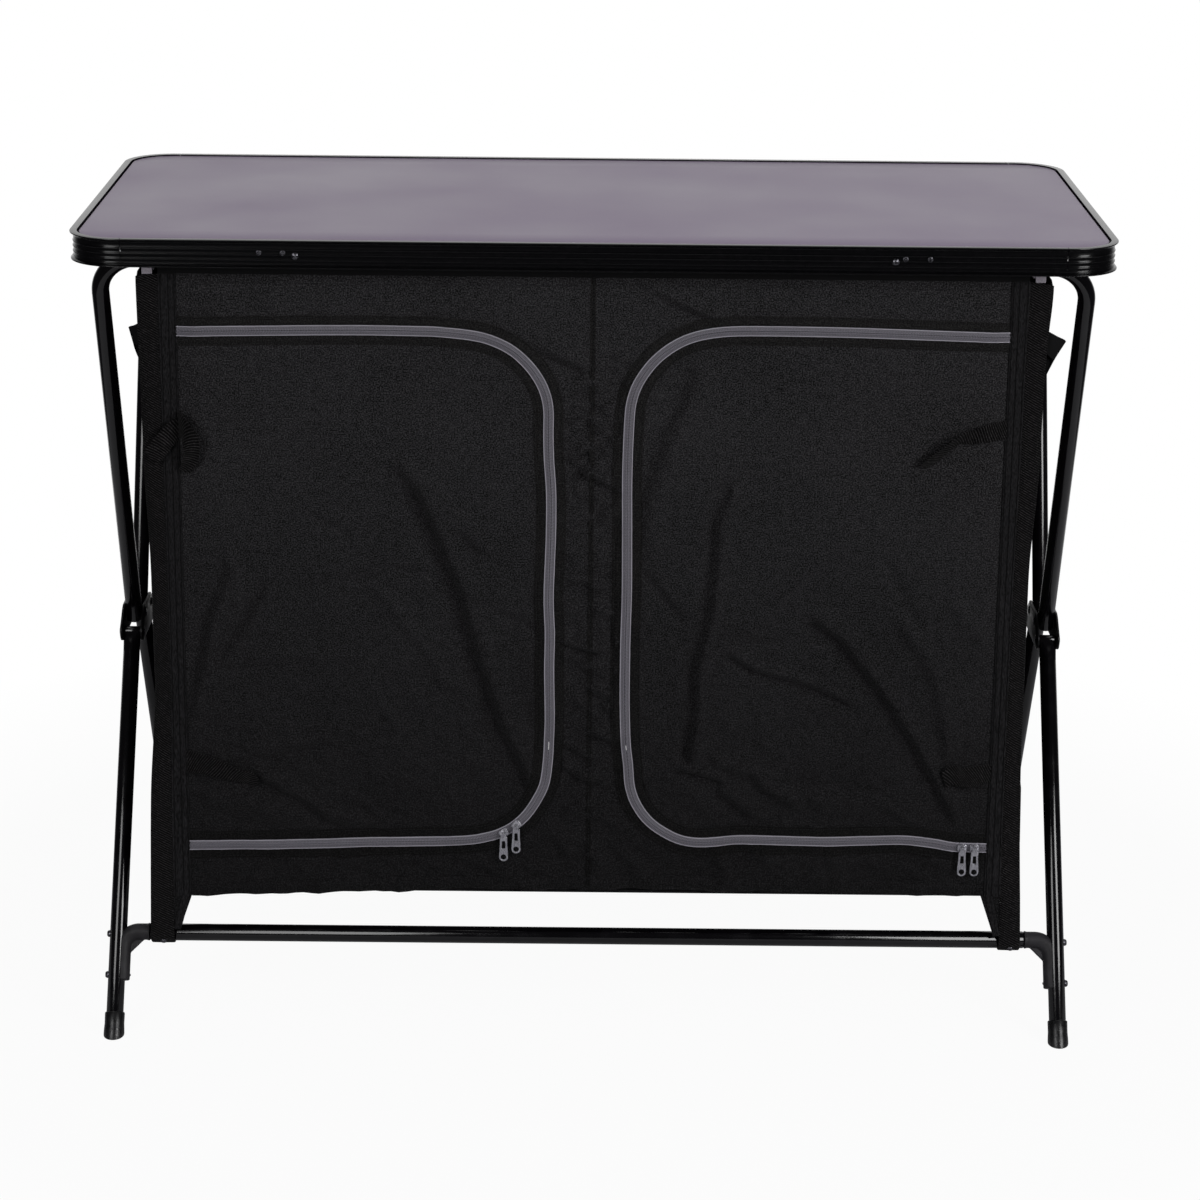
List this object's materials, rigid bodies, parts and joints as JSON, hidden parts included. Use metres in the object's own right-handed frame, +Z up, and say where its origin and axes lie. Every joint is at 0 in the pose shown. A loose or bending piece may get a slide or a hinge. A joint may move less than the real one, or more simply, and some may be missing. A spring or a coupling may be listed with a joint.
{
  "type": "camping cupboard",
  "caption": "Folding camp kitchen cupboard: a flat tabletop on a crossed tube frame, with a zip-fronted fabric cupboard hung inside it.",
  "frame": {"origin": "on the floor, under the middle of the tabletop", "axes": "+X to the right seen from the front, +Y from the front to the back, +Z up"},
  "size_m": [1, 0.5202, 0.81],
  "materials": {
    "board": "glossy mauve-grey laminate on a wood fibre board",
    "edge": "black ribbed extrusion, satin gloss",
    "frame_paint": "gloss black paint on steel tube",
    "pin_steel": "dark steel rivets",
    "elbow_plastic": "moulded dark grey plastic",
    "clip_plastic": "moulded light grey plastic",
    "foot_rubber": "dark grey rubber caps",
    "cloth": "black woven polyester, sewn, with zips",
    "lining": "black woven polyester over stiff board",
    "zip_metal": "silver-grey metal, slightly worn"
  },
  "bodies": {
    "cupboard": {"hub_plate_left_outer": "frame_paint", "hub_plate_left_inner": "frame_paint", "hub_plate_right_outer": "frame_paint", "hub_plate_right_inner": "frame_paint", "hub_pin_left_upper_front": "pin_steel", "hub_pin_left_upper_rear": "pin_steel", "hub_pin_left_lower_front": "pin_steel", "hub_pin_left_lower_rear": "pin_steel", "hub_pin_right_upper_front": "pin_steel", "hub_pin_right_upper_rear": "pin_steel", "hub_pin_right_lower_front": "pin_steel", "hub_pin_right_lower_rear": "pin_steel", "side_panel_left": "cloth", "side_panel_right": "cloth", "cupboard_floor": "lining", "shelf_lower": "lining", "shelf_upper": "lining", "divider": "lining"},
    "tabletop": {"tabletop_board": "board", "edge_front": "edge", "edge_rear": "edge", "edge_left": "edge", "edge_right": "edge"},
    "upper_front": {"upper_front_frame": "frame_paint", "upper_front_clip_left": "clip_plastic", "upper_front_clip_right": "clip_plastic"},
    "upper_rear": {"upper_rear_frame": "frame_paint", "upper_rear_clip_left": "clip_plastic", "upper_rear_clip_right": "clip_plastic"},
    "lower_front": {"lower_front_crossbar": "frame_paint", "lower_front_left_leg": "frame_paint", "lower_front_left_foot": "foot_rubber", "lower_front_left_elbow": "elbow_plastic", "lower_front_right_leg": "frame_paint", "lower_front_right_foot": "foot_rubber", "lower_front_right_elbow": "elbow_plastic"},
    "lower_rear": {"lower_rear_crossbar": "frame_paint", "lower_rear_left_leg": "frame_paint", "lower_rear_left_foot": "foot_rubber", "lower_rear_left_elbow": "elbow_plastic", "lower_rear_right_leg": "frame_paint", "lower_rear_right_foot": "foot_rubber", "lower_rear_right_elbow": "elbow_plastic"},
    "front_cloth_upper": {"front_panel_upper": "cloth"},
    "front_cloth_lower": {"front_panel_lower": "cloth"},
    "rear_cloth_upper": {"rear_panel_upper": "cloth"},
    "rear_cloth_lower": {"rear_panel_lower": "cloth"},
    "door_left": {"door_left_upper": "cloth"},
    "door_left_hem": {"door_left_lower": "cloth"},
    "door_right": {"door_right_upper": "cloth"},
    "door_right_hem": {"door_right_lower": "cloth"},
    "slider_left_1": {"zip_left_1_slider": "zip_metal"},
    "slider_left_2": {"zip_left_2_slider": "zip_metal"},
    "slider_right_1": {"zip_right_1_slider": "zip_metal"},
    "slider_right_2": {"zip_right_2_slider": "zip_metal"},
    "puller_left_1": {"zip_left_1_puller": "zip_metal"},
    "puller_left_2": {"zip_left_2_puller": "zip_metal"},
    "puller_right_1": {"zip_right_1_puller": "zip_metal"},
    "puller_right_2": {"zip_right_2_puller": "zip_metal"}
  },
  "joints": [
    {"name": "frame_fold", "type": "hinge", "parent": "cupboard", "child": "lower_front", "pos_m": [0, -0.0375, 0.358], "axis": [-1, 0, 0], "range_deg": [0, 141.54], "deforming": ["front_panel_upper", "front_panel_lower", "rear_panel_upper", "rear_panel_lower", "side_panel_left", "side_panel_right", "cupboard_floor", "shelf_lower", "shelf_upper", "divider", "door_left_upper", "door_left_lower", "door_right_upper", "door_right_lower"]},
    {"name": "lower_rear_fold", "type": "hinge", "parent": "cupboard", "child": "lower_rear", "pos_m": [0, 0.0375, 0.358], "axis": [1, 0, 0], "range_deg": [0, 141.6]},
    {"name": "upper_front_close", "type": "hinge", "parent": "cupboard", "child": "upper_front", "pos_m": [0, -0.0195, 0.372], "axis": [-1, 0, 0], "range_deg": [0, 21.22]},
    {"name": "upper_rear_close", "type": "hinge", "parent": "cupboard", "child": "upper_rear", "pos_m": [0, 0.0195, 0.372], "axis": [1, 0, 0], "range_deg": [0, 21.22]},
    {"name": "tabletop_lift", "type": "slide", "parent": "cupboard", "child": "tabletop", "axis": [0, 0, 1], "range_m": [0, 0.1]},
    {"name": "front_cloth_hang", "type": "hinge", "parent": "upper_front", "child": "front_cloth_upper", "pos_m": [0, -0.192, 0.784], "axis": [1, 0, 0], "range_deg": [0, 21.22]},
    {"name": "front_cloth_crease", "type": "hinge", "parent": "front_cloth_upper", "child": "front_cloth_lower", "pos_m": [0, -0.21128, 0.36068], "axis": [-1, 0, 0], "range_deg": [0, 177]},
    {"name": "rear_cloth_hang", "type": "hinge", "parent": "upper_rear", "child": "rear_cloth_upper", "pos_m": [0, 0.192, 0.784], "axis": [-1, 0, 0], "range_deg": [0, 21.22]},
    {"name": "rear_cloth_crease", "type": "hinge", "parent": "rear_cloth_upper", "child": "rear_cloth_lower", "pos_m": [0, 0.21128, 0.36068], "axis": [1, 0, 0], "range_deg": [0, 177]},
    {"name": "door_left_swing", "type": "hinge", "parent": "front_cloth_upper", "child": "door_left", "pos_m": [-0.3959, -0.20538, 0.36068], "axis": [0, 0, -1], "range_deg": [0, 110]},
    {"name": "door_left_crease", "type": "hinge", "parent": "door_left", "child": "door_left_hem", "pos_m": [0, -0.21128, 0.36068], "axis": [-1, 0, 0], "range_deg": [0, 177]},
    {"name": "door_right_swing", "type": "hinge", "parent": "front_cloth_upper", "child": "door_right", "pos_m": [0.3959, -0.20538, 0.36068], "axis": [0, 0, 1], "range_deg": [0, 110]},
    {"name": "door_right_crease", "type": "hinge", "parent": "door_right", "child": "door_right_hem", "pos_m": [0, -0.21128, 0.36068], "axis": [-1, 0, 0], "range_deg": [0, 177]},
    {"name": "zip_left_1_slide", "type": "slide", "parent": "front_cloth_lower", "child": "slider_left_1", "axis": [-0.9993, 0, -0.0383], "range_m": [0, 0.2995]},
    {"name": "zip_left_2_turn", "type": "hinge", "parent": "front_cloth_lower", "child": "slider_left_2", "pos_m": [-0.1285, -0.21128, 0.2845], "axis": [0, -1, 0], "range_deg": [0, 51]},
    {"name": "zip_right_1_slide", "type": "slide", "parent": "front_cloth_lower", "child": "slider_right_1", "axis": [-1, 0, 0], "range_m": [0, 0.245]},
    {"name": "zip_right_2_slide", "type": "slide", "parent": "front_cloth_lower", "child": "slider_right_2", "axis": [-1, 0, 0], "range_m": [0, 0.245]},
    {"name": "puller_left_1_swing", "type": "hinge", "parent": "slider_left_1", "child": "puller_left_1", "pos_m": [-0.0845, -0.21128, 0.20599], "axis": [-1, 0, 0], "range_deg": [0, 150]},
    {"name": "puller_left_2_swing", "type": "hinge", "parent": "slider_left_2", "child": "puller_left_2", "pos_m": [-0.072, -0.21128, 0.21444], "axis": [-1, 0, 0], "range_deg": [0, 150]},
    {"name": "puller_right_1_swing", "type": "hinge", "parent": "slider_right_1", "child": "puller_right_1", "pos_m": [0.3738, -0.21128, 0.1945], "axis": [-1, 0, 0], "range_deg": [0, 150]},
    {"name": "puller_right_2_swing", "type": "hinge", "parent": "slider_right_2", "child": "puller_right_2", "pos_m": [0.3863, -0.21128, 0.1945], "axis": [-1, 0, 0], "range_deg": [0, 150]}
  ],
  "couplings": [
    {"joint": "lower_rear_fold", "follows": "frame_fold", "ratio": 1},
    {"joint": "upper_front_close", "follows": "frame_fold", "ratio": 0.1499},
    {"joint": "upper_rear_close", "follows": "frame_fold", "ratio": 0.1499},
    {"joint": "tabletop_lift", "follows": "frame_fold", "m_per_rad": 0.0404},
    {"joint": "front_cloth_hang", "follows": "frame_fold", "ratio": 0.1499},
    {"joint": "rear_cloth_hang", "follows": "frame_fold", "ratio": 0.1499},
    {"joint": "front_cloth_crease", "follows": "frame_fold", "ratio": 1.25},
    {"joint": "rear_cloth_crease", "follows": "frame_fold", "ratio": 1.25},
    {"joint": "door_left_crease", "follows": "frame_fold", "ratio": 1.25},
    {"joint": "door_right_crease", "follows": "frame_fold", "ratio": 1.25},
    {"joint": "zip_right_2_slide", "follows": "zip_right_1_slide", "ratio": 1}
  ]
}
